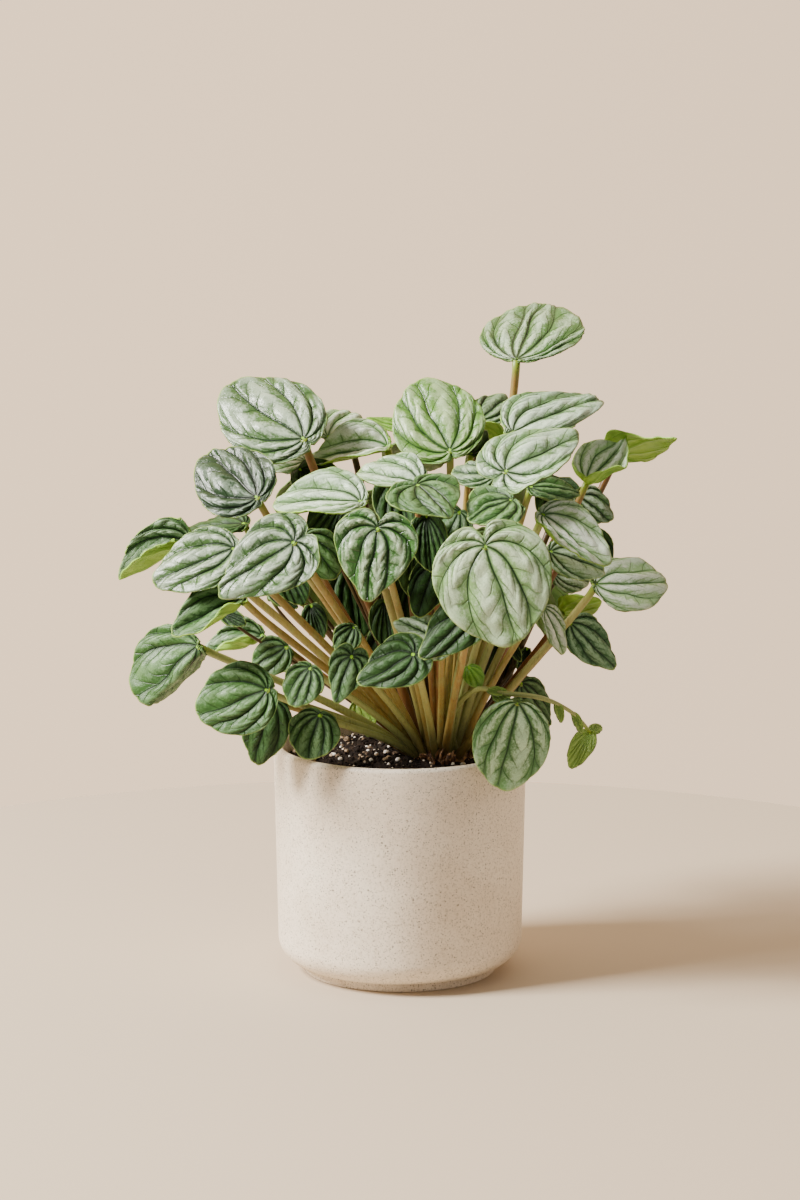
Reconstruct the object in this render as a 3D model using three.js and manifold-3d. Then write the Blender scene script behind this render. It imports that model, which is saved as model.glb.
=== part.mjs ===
// A potted peperomia: a stoneware pot, its soil, one fused body of crown and leaf stalks,
// and the ribbed, heart-shaped blades that the stalks carry.
// Millimetres, +Z up. The origin is the middle of the pot's underside.
// The front of the plant looks along -Y, and +X is to the right seen from there.
import * as THREE from "three";
import { mergeVertices } from "three/addons/utils/BufferGeometryUtils.js";
import Module from "manifold-3d";

// Driving dimensions of the pot
const POT_HEIGHT = 110;
const RIM_RADIUS = 60;
const LOWER_RADIUS = 58.2; // just above the rounded lower corner
const CORNER_RADIUS = 12;
const FOOT_RADIUS = 46;
const FOOT_HEIGHT = 4.5;
const FOOT_BEVEL = 0.8;
const CORNER_START = -84; // degrees: the lower corner's arc leaves the foot at this angle
const WALL = 4.2;
const FLOOR = 9;
const INNER_CORNER = 9;
const POT_SIDES = 36;

// Driving dimensions of the soil and the crown
const TOUCH_GAP = 0.3; // between pieces that touch
const SOIL_EDGE = 101.5; // height of the soil at the wall
const SOIL_CROWN = 106.5; // height of the soil beside the crown
const SOIL_LUMP = 0.9; // height of its lumps
const LUMP_WAVES = { first: [0.31, 0.12, 0], second: [0.1, -0.27, -1] }; // over x, over y, phase
const SOIL_RINGS = [1, 0.86, 0.66, 0.4];
const CROWN = new THREE.Vector3(19, -5, 109.5); // middle of the crown's top
const CROWN_RADIUS = 19;
const CROWN_DEPTH = 20;
const CROWN_SIDES = 20;
const CROWN_DOME = [
  [1, 3.5],
  [0.85, 1],
  [0.4, 0],
]; // share of the crown's radius, depth below its top
const HOLE_OPENING = 10; // a hole is cut this far above the crown

// Driving dimensions of the leaves
const BLADE_THICKNESS = 0.8;
const LARGE_BLADE = 34; // a blade this long or wide has the finer grid
const FINE_GRID = { spokes: 16, rings: [0.36, 0.7, 1] }; // even spokes are veins, odd ones ribs
const COARSE_GRID = { spokes: 12, rings: [0.5, 1] };
const WIDEST = 0.28; // share of the length where the taper leaves the width as it is
const SHOULDER = 0.3; // rise beside the navel before the margin falls
const MARGIN_WAVES = { height: 0.01, count: 3, phase: 1 };
const RIB_SPAN = 2.73; // radians of the half wave that a rib's height follows from navel to margin
const POINT_SHARPNESS = 24; // how narrowly tip and cleft stand out of the margin
const VEIN_SWEEP = 28; // degrees by which a side vein leaves the navel further back
const STALK_SIDES = 5;
const STALK_STEP = 36; // length of one straight stretch of a stalk
const FEWEST_STEPS = 3;
const STALK_BASE = 1.2; // radius of a stalk, and what a long blade adds to it
const STALK_PER_LENGTH = 0.015;
const STALK_SEAT = 0.2; // room below the navel for the veins' undersides
const FOOT_SWELL = 1.2; // a stalk is this much thicker where it leaves the crown
const FOOT_SINK = 4; // and starts this deep in it
const FOOT_PLACE = { upright: 0.2, leaning: 0.58 }; // from the crown's middle, by its radius
const RISE_FIRST = 0.35; // a stalk sets out this much steeper than straight at its blade
const ARRIVAL = { normal: 0.8, tip: 0.15 }; // and turns this much towards the blade's own axes
const REACH = { foot: 0.33, end: 0.2 }; // share of its length that each direction holds for

// How the blades are formed. Lengths are shares of the blade's length.
// back: reach behind the navel. point: longer tip. taper: narrowing towards it. notch: depth of the
// cleft between the lobes. rib: height of the ribs over the veins. dome: fall of the margin.
// droop: fall of the tip. fold: slope of both halves up from the midrib. lobes: lift of the two
// lobes. A habit that gives no fold or lobes has none.
const HABITS = {
  fan: { back: 0.03, point: 0.04, taper: 0.1, notch: 0.3, rib: 0.024, dome: 0.07, droop: 0.03 },
  round: { back: 0.14, point: 0.04, taper: 0.15, notch: 0.3, rib: 0.024, dome: 0.08, droop: 0.04 },
  broad: { back: 0.27, point: 0.03, taper: 0.2, notch: 0.36, rib: 0.026, dome: 0.08, droop: 0.05 },
  heart: { back: 0.34, point: 0.1, taper: 0.4, notch: 0.42, rib: 0.026, dome: 0.08, droop: 0.08 },
  arched: {
    back: 0.1,
    point: 0.08,
    taper: 0.25,
    notch: 0.3,
    rib: 0.022,
    dome: 0.1,
    droop: 0.12,
    fold: 0.1,
  },
  pointed: {
    back: 0.1,
    point: 0.14,
    taper: 0.75,
    notch: 0.3,
    rib: 0.02,
    dome: 0.08,
    droop: 0.1,
    fold: 0.15,
  },
  trough: {
    back: 0.1,
    point: 0.08,
    taper: 0.25,
    notch: 0.3,
    rib: 0.018,
    dome: 0.04,
    droop: 0.1,
    fold: 0.45,
  },
  folded: {
    back: 0.06,
    point: 0.1,
    taper: 0.3,
    notch: 0.2,
    rib: 0.014,
    dome: 0.02,
    droop: 0.06,
    fold: 0.85,
  },
  cupped: {
    back: 0.26,
    point: 0.1,
    taper: 0.1,
    notch: 0.3,
    rib: 0.014,
    dome: 0,
    droop: -0.1,
    fold: 0.7,
    lobes: 0.3,
  },
  young: {
    back: 0.05,
    point: 0.1,
    taper: 0.25,
    notch: 0.1,
    rib: 0.014,
    dome: 0.04,
    droop: 0.05,
    fold: 0.3,
  },
};

// One row for each blade: the point where its stalk meets it, the compass heading of its upper face
// (-90 looks to the front, 0 to the right, 90 to the back), how steeply that face looks up, where
// the tip points on the face (clockwise from uphill), length, width and habit.
const LEAVES = {
  leaf_crest: [[54, -12, 294], -106, 58, 4, 44, 46, "fan"],
  leaf_upper_1: [[-45, -12, 257], -94, 40, -52, 47, 48, "round"],
  leaf_upper_2: [[-66, -35, 233], -104, 38, -55, 36, 38, "round"],
  leaf_upper_3: [[23, -30, 254], -92, 32, -22, 38, 44, "round"],
  leaf_upper_4: [[-18, -62, 235], -88, 60, -86, 36, 37, "trough"],
  leaf_upper_5: [[9, -52, 242], -84, 56, -68, 27, 29, "trough"],
  leaf_upper_6: [[8, -72, 244], -90, 66, 146, 22, 36, "heart"],
  leaf_upper_7: [[48, -62, 249], -86, 40, 56, 36, 35, "heart"],
  leaf_upper_8: [[52, -35, 263], -88, 50, 60, 44, 38, "pointed"],
  leaf_upper_9: [[50, -77, 238], -94, 66, -124, 20, 36, "arched"],
  leaf_upper_10: [[87, -18, 238], -80, 50, 50, 24, 30, "cupped"],
  leaf_upper_11: [[102, 5, 248], 80, 46, -56, 29, 30, "pointed"],
  leaf_upper_12: [[-34, 15, 254], -70, 40, 66, 22, 26, "round"],
  leaf_upper_13: [[-6, 10, 250], -96, 52, -105, 33, 34, "folded"],
  leaf_upper_14: [[43, -42, 244], -96, 52, -80, 19, 18, "round"],
  leaf_upper_15: [[33, -15, 250], -84, 40, 30, 14, 13, "young"],
  leaf_middle_1: [[-10, -88, 227], -90, 20, -172, 28, 37, "heart"],
  leaf_middle_2: [[-48, -78, 219], -92, 30, -126, 35, 36, "heart"],
  leaf_middle_3: [[-97, -28, 211], -108, 36, -126, 36, 44, "folded"],
  leaf_middle_4: [[-76, -53, 212], -96, 38, -112, 36, 33, "arched"],
  leaf_middle_5: [[-73, -55, 190], -96, 40, -124, 32, 32, "folded"],
  leaf_middle_6: [[38, -100, 221], -88, 14, 166, 43, 54, "broad"],
  leaf_middle_7: [[65, -62, 229], -74, 44, 134, 34, 28, "trough"],
  leaf_middle_8: [[69, -50, 210], -80, 42, 112, 24, 22, "arched"],
  leaf_middle_9: [[91, -28, 191], -84, 44, 88, 32, 32, "fan"],
  leaf_middle_10: [[16, -60, 206], -96, 16, -162, 23, 19, "arched"],
  leaf_middle_11: [[31, -88, 188], -92, 26, -132, 25, 24, "heart"],
  leaf_middle_12: [[19, -62, 171], -84, 22, -66, 20, 21, "heart"],
  leaf_middle_13: [[-44, -48, 216], -86, 22, 140, 21, 24, "arched"],
  leaf_middle_14: [[80, -8, 169], -72, 22, 136, 26, 22, "arched"],
  leaf_middle_15: [[66, -45, 183], -46, 20, 165, 21, 16, "young"],
  leaf_middle_16: [[60, -38, 238], -84, 62, 92, 21, 20, "arched"],
  leaf_middle_17: [[83, -5, 229], -80, 30, 124, 18, 18, "arched"],
  leaf_middle_18: [[27, -60, 230], -92, 24, -150, 20, 22, "arched"],
  leaf_lower_1: [[-93, -45, 165], -112, 18, -128, 37, 42, "fan"],
  leaf_lower_2: [[-61, -62, 148], -94, 22, -108, 32, 35, "round"],
  leaf_lower_3: [[-59, -42, 139], -100, 12, -166, 28, 25, "arched"],
  leaf_lower_4: [[-37, -52, 134], -94, 24, -163, 20, 25, "round"],
  leaf_lower_5: [[-41, -62, 158], -104, 24, -158, 18, 20, "round"],
  leaf_lower_6: [[-22, -70, 165], -92, 22, -162, 19, 18, "heart"],
  leaf_lower_7: [[6, -80, 168], -96, 34, -118, 24, 26, "heart"],
  leaf_lower_8: [[54, -56, 141], -76, 4, -171, 39, 38, "fan"],
  leaf_lower_9: [[-66, 22, 157], -100, 44, -110, 26, 25, "folded"],
  leaf_lower_10: [[-54, 5, 155], -94, 22, -125, 18, 20, "arched"],
  leaf_lower_11: [[-21, -55, 176], -96, 18, -150, 13, 15, "young"],
  leaf_lower_12: [[-20, -5, 131], -90, 16, 160, 16, 14, "young"],
  leaf_lower_13: [[32, -40, 154], -90, 24, 150, 10, 10, "round"],
  leaf_back_1: [[3, 38, 254], -60, 50, -60, 18, 10, "young"],
  leaf_back_2: [[38, 30, 260], -80, 40, 45, 20, 18, "arched"],
  leaf_back_3: [[48, 22, 252], 90, 30, 60, 16, 14, "young"],
  leaf_back_4: [[-45, 12, 243], -94, 60, -90, 20, 18, "round"],
  leaf_back_5: [[-74, 18, 212], -110, 68, -95, 28, 24, "arched"],
  leaf_back_6: [[77, 8, 171], 70, 40, -60, 22, 18, "young"],
  leaf_back_7: [[73, 5, 190], -70, 30, 100, 17, 18, "arched"],
  leaf_back_8: [[58, 22, 134], -60, 20, 150, 24, 20, "arched"],
};

// Two smaller shoots behind the main crown. Each stands in its own hole and carries its leaves
// as one body.
const SHOOT_RADIUS = 5;
const SHOOT_RISE = 4; // of its crown above the soil
const SHOOTS = {
  back_shoot_1: {
    foot: [2, 34],
    leaves: [
      [[-38, 50, 232], 125, 50, 175, 34, 36, "round"],
      [[-8, 84, 212], 105, 40, 185, 36, 38, "heart"],
      [[-30, 70, 180], 120, 22, 172, 32, 32, "round"],
      [[12, 92, 176], 92, 20, 182, 34, 34, "heart"],
      [[-4, 78, 142], 100, 8, 178, 25, 26, "arched"],
      [[10, 56, 246], 95, 62, 180, 34, 36, "round"],
      [[-24, 34, 250], 150, 66, 172, 30, 32, "round"],
      [[-52, 36, 200], 150, 30, 176, 28, 28, "arched"],
    ],
  },
  back_shoot_2: {
    foot: [38, 27],
    leaves: [
      [[48, 66, 236], 70, 50, 182, 34, 36, "heart"],
      [[76, 44, 214], 40, 40, 176, 30, 32, "round"],
      [[44, 86, 196], 75, 26, 188, 32, 34, "round"],
      [[70, 60, 176], 50, 20, 180, 28, 28, "heart"],
      [[36, 80, 152], 80, 12, 178, 25, 26, "arched"],
      [[60, 44, 150], 60, 10, 170, 18, 16, "arched"],
      [[66, 36, 246], 60, 64, 172, 30, 32, "round"],
      [[86, 32, 204], 30, 30, 178, 24, 24, "arched"],
    ],
  },
};

// The runner: a thin trailing stem that leaves the crown, passes over the rim at the right and
// ends in young leaves. Its blades are rows like those above, with the step of the route where
// they grow in place of a point.
const RUNNER_RADIUS = { foot: 1.6, end: 1 };
const RUNNER_STEPS = 12;
const RUNNER = [
  [27, -14, 106],
  [24, -26, 128],
  [35, -42, 144],
  [47, -52, 144.5],
  [65, -46, 141],
  [79, -38, 133],
  [89, -29, 121],
];
const RUNNER_LEAVES = [
  [12, -95, 30, -152, 19, 12, "young"],
  [12, -70, 50, 60, 8, 6, "young"],
  [9, -60, 20, 170, 9, 5, "young"],
  [10, -60, 20, 160, 10, 5, "young"],
];

const wasm = await Module();
wasm.setup();

const rad = THREE.MathUtils.degToRad;
const MERGE_DISTANCE = 1e-4;

// A closed mesh's geometry as a solid, and back.
function solidOf(geometry) {
  const bare = geometry.index ? geometry.toNonIndexed() : geometry.clone();
  bare.deleteAttribute("normal");
  bare.deleteAttribute("uv");
  const merged = mergeVertices(bare, MERGE_DISTANCE);
  return new wasm.Manifold(
    new wasm.Mesh({
      numProp: 3,
      vertProperties: merged.attributes.position.array,
      triVerts: new Uint32Array(merged.index.array),
    }),
  );
}

function geometryOf(solid) {
  const { vertProperties, triVerts } = solid.getMesh();
  const geometry = new THREE.BufferGeometry();
  geometry.setAttribute("position", new THREE.BufferAttribute(vertProperties, 3));
  geometry.setIndex(new THREE.BufferAttribute(triVerts, 1));
  return geometry;
}

// Fusing can seal a small hollow between stalks. The outer skin alone is the solid without it.
function filled(solid) {
  return solid.decompose().reduce((a, b) => (b.volume() > a.volume() ? b : a));
}

function indexedGeometry(points, triangles) {
  const geometry = new THREE.BufferGeometry();
  geometry.setFromPoints(points);
  geometry.setIndex(triangles);
  return geometry;
}

// Profile points of a quarter arc from one angle to another, in degrees.
function arcPoints(centreX, centreY, radius, from, to, steps) {
  return Array.from({ length: steps + 1 }, (_, i) => {
    const angle = rad(from + ((to - from) * i) / steps);
    return new THREE.Vector2(centreX + radius * Math.cos(angle), centreY + radius * Math.sin(angle));
  });
}

// LatheGeometry turns its profile about Y, so the lathe stands up on Z here.
function turned(profile, sides) {
  return new THREE.LatheGeometry(profile, sides).rotateX(Math.PI / 2);
}

const innerRadiusTop = RIM_RADIUS - WALL;
const innerRadiusLow = LOWER_RADIUS - WALL;

function potGeometry() {
  const lip = WALL / 2;
  const cornerTop = FOOT_HEIGHT + CORNER_RADIUS;
  const profile = [
    new THREE.Vector2(0, 0),
    new THREE.Vector2(FOOT_RADIUS - FOOT_BEVEL, 0),
    new THREE.Vector2(FOOT_RADIUS, FOOT_BEVEL),
    new THREE.Vector2(FOOT_RADIUS, FOOT_HEIGHT),
    ...arcPoints(LOWER_RADIUS - CORNER_RADIUS, cornerTop, CORNER_RADIUS, CORNER_START, 0, 4),
    ...arcPoints(RIM_RADIUS - lip, POT_HEIGHT - lip, lip, 0, 180, 4),
    ...arcPoints(innerRadiusLow - INNER_CORNER, FLOOR + INNER_CORNER, INNER_CORNER, 0, -90, 2),
    new THREE.Vector2(0, FLOOR),
  ];
  return turned(profile, POT_SIDES);
}

// Height of the soil over a point of the pot, lumpy by a sum of waves.
function soilHeight(x, y) {
  const share = Math.min(1, Math.hypot(x, y) / innerRadiusTop);
  const mound = SOIL_EDGE + (SOIL_CROWN - SOIL_EDGE) * (1 - share * share);
  const { first, second } = LUMP_WAVES;
  const lump =
    Math.sin(first[0] * x + first[1] * y + first[2]) * Math.cos(second[0] * x + second[1] * y + second[2]);
  return mound + SOIL_LUMP * lump;
}

function soilGeometry() {
  const wallFoot = FLOOR + INNER_CORNER;
  const wallTop = POT_HEIGHT - WALL / 2;
  const radiusAt = (z) =>
    THREE.MathUtils.mapLinear(z, wallFoot, wallTop, innerRadiusLow, innerRadiusTop) - TOUCH_GAP;
  const corner = arcPoints(
    innerRadiusLow - INNER_CORNER,
    wallFoot,
    INNER_CORNER - TOUCH_GAP,
    -90,
    0,
    2,
  );
  const rim = radiusAt(SOIL_EDGE);
  const profile = [
    new THREE.Vector2(0, FLOOR + TOUCH_GAP),
    ...corner,
    ...SOIL_RINGS.map((share) => new THREE.Vector2(rim * share, SOIL_EDGE)),
    new THREE.Vector2(0, SOIL_EDGE),
  ];
  const body = turned(profile, POT_SIDES);
  const position = body.attributes.position;
  for (let i = 0; i < position.count; i++)
    if (position.getZ(i) > SOIL_EDGE - TOUCH_GAP)
      position.setZ(i, soilHeight(position.getX(i), position.getY(i)));
  let soil = solidOf(body);
  soil = soil.subtract(holeSolid(CROWN, CROWN_RADIUS));
  for (const { foot } of Object.values(SHOOTS)) {
    const top = new THREE.Vector3(foot[0], foot[1], soilHeight(...foot) + SHOOT_RISE);
    soil = soil.subtract(holeSolid(top, SHOOT_RADIUS));
  }
  return geometryOf(soil);
}

// The plain round hole that a crown stands in, open at the top.
function holeSolid(top, radius) {
  const depth = CROWN_DEPTH + TOUCH_GAP;
  const hole = new THREE.CylinderGeometry(
    radius + TOUCH_GAP,
    radius + TOUCH_GAP,
    depth + HOLE_OPENING,
    CROWN_SIDES,
  );
  return solidOf(hole.rotateX(Math.PI / 2).translate(top.x, top.y, top.z + (HOLE_OPENING - depth) / 2));
}

function habitOf(name) {
  return { fold: 0, lobes: 0, ...HABITS[name] };
}

// Distance from the navel to the margin, for a direction given as an angle from the tip:
// an ellipse seen from inside, with a longer tip and a cleft at the back.
function marginReach(angle, length, width, habit) {
  const back = habit.back * length;
  const half = { along: (length + back) / 2, across: width / 2 };
  const offset = (length - back) / 2;
  const c = Math.cos(angle);
  const s = Math.sin(angle);
  const a = (c / half.along) ** 2 + (s / half.across) ** 2;
  const b = (-2 * offset * c) / half.along ** 2;
  const k = (offset / half.along) ** 2 - 1;
  const reach = (-b + Math.sqrt(b * b - 4 * a * k)) / (2 * a);
  const tip = habit.point * Math.max(0, c) ** POINT_SHARPNESS;
  const cleft = habit.notch * Math.max(0, -c) ** POINT_SHARPNESS;
  return reach * (1 + tip - cleft);
}

// Middle surface of a blade: x across, y towards the tip, z out of the upper face.
function bladePoint(angle, isRib, share, length, width, habit) {
  const leaving = angle + rad(VEIN_SWEEP) * Math.sin(angle);
  const reach = marginReach(angle, length, width, habit);
  const start = share * (1 - share) * reach;
  const end = share * share * reach;
  const across = start * Math.sin(leaving) + end * Math.sin(angle);
  const along = start * Math.cos(leaving) + end * Math.cos(angle);
  const flattening = 1 / Math.hypot(1, habit.fold);
  const x = across * flattening * (1 - habit.taper * (along / length - WIDEST));
  const spokeHeight =
    habit.dome * (SHOULDER * share - share * share) +
    MARGIN_WAVES.height * share ** 3 * Math.cos(MARGIN_WAVES.count * angle + MARGIN_WAVES.phase) +
    (isRib ? 1 : -1) * habit.rib * Math.sin(RIB_SPAN * share);
  const bladeHeight =
    habit.lobes * share * share * Math.max(0, -Math.cos(angle)) -
    habit.droop * Math.max(0, along / length) ** 2;
  return new THREE.Vector3(x, along, spokeHeight * reach + bladeHeight * length + habit.fold * Math.abs(x));
}

function bladeGeometry(length, width, habit) {
  const { spokes, rings } = Math.max(length, width) < LARGE_BLADE ? COARSE_GRID : FINE_GRID;
  const middle = [new THREE.Vector3(0, 0, 0)];
  for (const share of rings)
    for (let spoke = 0; spoke < spokes; spoke++)
      middle.push(bladePoint((spoke * 2 * Math.PI) / spokes, spoke % 2 === 1, share, length, width, habit));
  const at = (ring, spoke) => 1 + ring * spokes + (spoke % spokes);
  const face = [];
  for (let spoke = 0; spoke < spokes; spoke++) {
    face.push([0, at(0, spoke + 1), at(0, spoke)]);
    for (let ring = 0; ring + 1 < rings.length; ring++) {
      face.push([at(ring, spoke), at(ring, spoke + 1), at(ring + 1, spoke + 1)]);
      face.push([at(ring, spoke), at(ring + 1, spoke + 1), at(ring + 1, spoke)]);
    }
  }
  const sheet = indexedGeometry(middle, face.flat());
  sheet.computeVertexNormals();
  const normals = sheet.attributes.normal;
  const offset = (distance) =>
    middle.map((point, i) => {
      const normal = new THREE.Vector3().fromBufferAttribute(normals, i);
      return normal.multiplyScalar(distance).add(point);
    });
  const points = [...offset(BLADE_THICKNESS / 2), ...offset(-BLADE_THICKNESS / 2)];
  const under = (i) => i + middle.length;
  const triangles = [];
  for (const [a, b, c] of face) triangles.push(a, b, c, under(c), under(b), under(a));
  for (let spoke = 0; spoke < spokes; spoke++) {
    const a = at(rings.length - 1, spoke);
    const b = at(rings.length - 1, spoke + 1);
    triangles.push(a, b, under(b), a, under(b), under(a));
  }
  return indexedGeometry(points, triangles);
}

// The blade's own axes in the plant: across, towards the tip, and out of the upper face.
function bladeAxes(facing, rise, clock) {
  const heading = rad(facing);
  const up = rad(rise);
  const normal = new THREE.Vector3(
    Math.cos(up) * Math.cos(heading),
    Math.cos(up) * Math.sin(heading),
    Math.sin(up),
  );
  const uphill = new THREE.Vector3(
    -Math.sin(up) * Math.cos(heading),
    -Math.sin(up) * Math.sin(heading),
    Math.cos(up),
  );
  const level = new THREE.Vector3().crossVectors(uphill, normal);
  const tip = uphill
    .clone()
    .multiplyScalar(Math.cos(rad(clock)))
    .addScaledVector(level, Math.sin(rad(clock)));
  return { across: new THREE.Vector3().crossVectors(tip, normal), tip, normal };
}

// A closed tube through the points, with a radius at each and a flat end at either side. The last
// ring can be turned to lie flat against a surface with the given normal.
function tubeGeometry(points, radii, endNormal) {
  const path = new THREE.CatmullRomCurve3(points);
  const frames = path.computeFrenetFrames(points.length - 1, false);
  const last = points.length - 1;
  if (endNormal) {
    const level = frames.normals[last].clone().projectOnPlane(endNormal).normalize();
    frames.normals[last] = level;
    frames.binormals[last] = new THREE.Vector3().crossVectors(endNormal, level);
  }
  const rings = points.map((point, i) =>
    Array.from({ length: STALK_SIDES }, (_, k) => {
      const angle = (2 * Math.PI * k) / STALK_SIDES;
      return point
        .clone()
        .addScaledVector(frames.normals[i], radii[i] * Math.cos(angle))
        .addScaledVector(frames.binormals[i], radii[i] * Math.sin(angle));
    }),
  );
  const triangles = [];
  const at = (ring, k) => ring * STALK_SIDES + (k % STALK_SIDES);
  for (let ring = 0; ring < last; ring++)
    for (let k = 0; k < STALK_SIDES; k++) {
      triangles.push(at(ring, k), at(ring, k + 1), at(ring + 1, k + 1));
      triangles.push(at(ring, k), at(ring + 1, k + 1), at(ring + 1, k));
    }
  for (let k = 1; k + 1 < STALK_SIDES; k++) {
    triangles.push(at(0, 0), at(0, k + 1), at(0, k));
    triangles.push(at(last, 0), at(last, k), at(last, k + 1));
  }
  return indexedGeometry(rings.flat(), triangles);
}

// A stalk leaves the crown on the side of its blade and meets the blade from underneath.
function stalkPath(crown, spread, end, normal, tip) {
  const outward = new THREE.Vector3().subVectors(end, crown);
  const lean = Math.hypot(outward.x, outward.y) / outward.length();
  const side = Math.atan2(outward.y, outward.x);
  const offset = spread * (FOOT_PLACE.upright + FOOT_PLACE.leaning * lean);
  const foot = new THREE.Vector3(
    crown.x + offset * Math.cos(side),
    crown.y + offset * Math.sin(side),
    crown.z - FOOT_SINK,
  );
  const length = foot.distanceTo(end);
  const start = new THREE.Vector3().subVectors(end, foot).normalize();
  start.z += RISE_FIRST;
  start.normalize();
  const arriving = start.clone().addScaledVector(normal, ARRIVAL.normal).addScaledVector(tip, ARRIVAL.tip);
  return new THREE.CubicBezierCurve3(
    foot,
    foot.clone().addScaledVector(start, length * REACH.foot),
    end.clone().addScaledVector(arriving.normalize(), -length * REACH.end),
    end,
  );
}

function stalkGeometry(path, radius, normal) {
  const steps = Math.max(FEWEST_STEPS, Math.round(path.getLength() / STALK_STEP));
  const points = path.getSpacedPoints(steps);
  const radii = points.map((_, i) => radius * (1 + (FOOT_SWELL - 1) * Math.max(0, 1 - (2 * i) / steps)));
  return tubeGeometry(points, radii, normal);
}

// A leaf is a blade on its stalk. The stalk ends just under the blade, or inside it where the two
// are to be fused.
function growLeaf([place, facing, rise, clock, length, width, habit], crown, spread, fused) {
  const junction = new THREE.Vector3(...place);
  const { across, tip, normal } = bladeAxes(facing, rise, clock);
  const seat = fused ? BLADE_THICKNESS / 4 : BLADE_THICKNESS / 2 + TOUCH_GAP + STALK_SEAT;
  const end = junction.clone().addScaledVector(normal, -seat);
  const radius = STALK_BASE + STALK_PER_LENGTH * length;
  return {
    blade: bladeGeometry(length, width, habitOf(habit)),
    matrix: new THREE.Matrix4().makeBasis(across, tip, normal).setPosition(junction),
    stalk: solidOf(stalkGeometry(stalkPath(crown, spread, end, normal, tip), radius, normal)),
  };
}

// A low dome on a round plug, which stands in its hole in the soil.
function crownGeometry(top, radius) {
  const bottom = top.z - CROWN_DEPTH;
  const profile = [
    new THREE.Vector2(0, bottom),
    new THREE.Vector2(radius, bottom),
    ...CROWN_DOME.map(([share, depth]) => new THREE.Vector2(radius * share, top.z - depth)),
    new THREE.Vector2(0, top.z),
  ];
  return turned(profile, CROWN_SIDES).translate(top.x, top.y, 0);
}

function shootGeometry(foot, leaves) {
  const top = new THREE.Vector3(foot[0], foot[1], soilHeight(...foot) + SHOOT_RISE);
  let shoot = solidOf(crownGeometry(top, SHOOT_RADIUS));
  for (const row of leaves) {
    const { blade, matrix, stalk } = growLeaf(row, top, SHOOT_RADIUS, true);
    shoot = shoot.add(stalk).add(solidOf(blade.applyMatrix4(matrix)));
  }
  return geometryOf(filled(shoot));
}

function runnerSolid() {
  const route = new THREE.CatmullRomCurve3(RUNNER.map((point) => new THREE.Vector3(...point)));
  const points = route.getSpacedPoints(RUNNER_STEPS);
  const { foot, end } = RUNNER_RADIUS;
  const radii = points.map((_, i) => THREE.MathUtils.lerp(foot, end, i / RUNNER_STEPS));
  let runner = solidOf(tubeGeometry(points, radii));
  for (const [step, facing, rise, clock, length, width, habit] of RUNNER_LEAVES) {
    const { across, tip, normal } = bladeAxes(facing, rise, clock);
    const matrix = new THREE.Matrix4().makeBasis(across, tip, normal).setPosition(points[step]);
    runner = runner.add(solidOf(bladeGeometry(length, width, habitOf(habit)).applyMatrix4(matrix)));
  }
  return runner;
}

const finishes = {
  pot: { color: 0xd8cdbe, roughness: 0.6 },
  soil: { color: 0x2a201a, roughness: 0.95 },
  stalks: { color: 0xa98a48, roughness: 0.5 },
  blade: { color: 0x93ad90, roughness: 0.45 },
};

function namedMesh(name, geometry, finish) {
  const mesh = new THREE.Mesh(
    geometry,
    new THREE.MeshStandardMaterial({ ...finish, metalness: 0, flatShading: true }),
  );
  mesh.name = name;
  return mesh;
}

const plant = new THREE.Group();
plant.add(namedMesh("pot", potGeometry(), finishes.pot));
plant.add(namedMesh("soil", soilGeometry(), finishes.soil));

let stalks = solidOf(crownGeometry(CROWN, CROWN_RADIUS)).add(runnerSolid());
for (const [name, row] of Object.entries(LEAVES)) {
  const { blade, matrix, stalk } = growLeaf(row, CROWN, CROWN_RADIUS, false);
  const mesh = namedMesh(name, blade, finishes.blade);
  matrix.decompose(mesh.position, mesh.quaternion, mesh.scale);
  plant.add(mesh);
  stalks = stalks.add(stalk);
}
plant.add(namedMesh("stalks", geometryOf(filled(stalks)), finishes.stalks));
for (const [name, { foot, leaves }] of Object.entries(SHOOTS))
  plant.add(namedMesh(name, shootGeometry(foot, leaves), finishes.blade));

export default plant;
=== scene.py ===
import random
from math import atan2, copysign, cos, exp, hypot, pi, radians, sin, sqrt

import bmesh
import bpy
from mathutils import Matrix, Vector
from mathutils.noise import noise


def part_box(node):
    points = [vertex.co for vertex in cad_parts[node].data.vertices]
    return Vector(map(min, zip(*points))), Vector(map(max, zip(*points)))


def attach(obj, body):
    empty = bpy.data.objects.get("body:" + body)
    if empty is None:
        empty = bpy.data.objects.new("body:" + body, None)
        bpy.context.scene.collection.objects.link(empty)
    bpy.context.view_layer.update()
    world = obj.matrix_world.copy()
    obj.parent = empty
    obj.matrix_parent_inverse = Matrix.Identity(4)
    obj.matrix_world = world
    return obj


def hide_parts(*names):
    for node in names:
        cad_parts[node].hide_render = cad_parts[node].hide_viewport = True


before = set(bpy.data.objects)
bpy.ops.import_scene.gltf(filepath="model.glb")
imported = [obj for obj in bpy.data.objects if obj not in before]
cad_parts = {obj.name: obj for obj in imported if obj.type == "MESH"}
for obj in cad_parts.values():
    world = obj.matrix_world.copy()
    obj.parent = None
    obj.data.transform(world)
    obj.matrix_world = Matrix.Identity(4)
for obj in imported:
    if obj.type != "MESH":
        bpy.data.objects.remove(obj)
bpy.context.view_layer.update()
print("frame loaded:", len(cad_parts), "nodes")

up = Vector((0, 0, 1))


# Small helpers for node trees, which add to the newest tree

trees = []


def colour(hexText):
    # a screen colour as the linear values that shaders read
    parts = [int(hexText[i:i + 2], 16) / 255 for i in (0, 2, 4)]
    linear = [c / 12.92 if c <= 0.04045 else ((c + 0.055) / 1.055) ** 2.4 for c in parts]
    return (*linear, 1.0)


def newMaterial(name):
    material = bpy.data.materials.new(name)
    material.use_nodes = True
    trees.append(material.node_tree)
    return material, material.node_tree.nodes["Principled BSDF"]


def link(output, socket):
    trees[-1].links.new(output, socket)


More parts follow.
